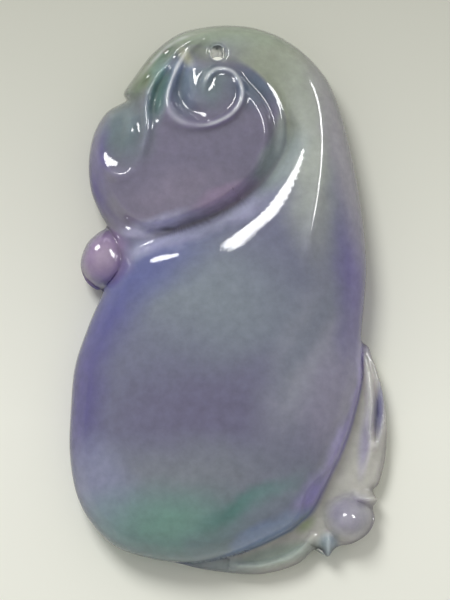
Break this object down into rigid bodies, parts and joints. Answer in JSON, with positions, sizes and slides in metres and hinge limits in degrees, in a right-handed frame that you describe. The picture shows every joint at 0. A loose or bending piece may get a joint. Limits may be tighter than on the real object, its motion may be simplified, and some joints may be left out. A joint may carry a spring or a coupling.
{
  "type": "jadeite ruyi pendant",
  "caption": "Carved jade pendant worn on a cord: a plump ruyi whose stem curls over into a lobed head, with a bud and a small bat at its edge.",
  "frame": {"origin": "middle of the outline on the flat back, where the stone rests", "axes": "+X to the right of the carved front, +Y to the end with the cord hole, +Z out of the carved front"},
  "size_m": [0.0315, 0.055, 0.01],
  "materials": {
    "jadeite": "translucent lavender and grey-green jadeite, carved and polished to a mirror gloss"
  },
  "bodies": {
    "root": {"carved_stone": "jadeite"}
  },
  "joints": []
}
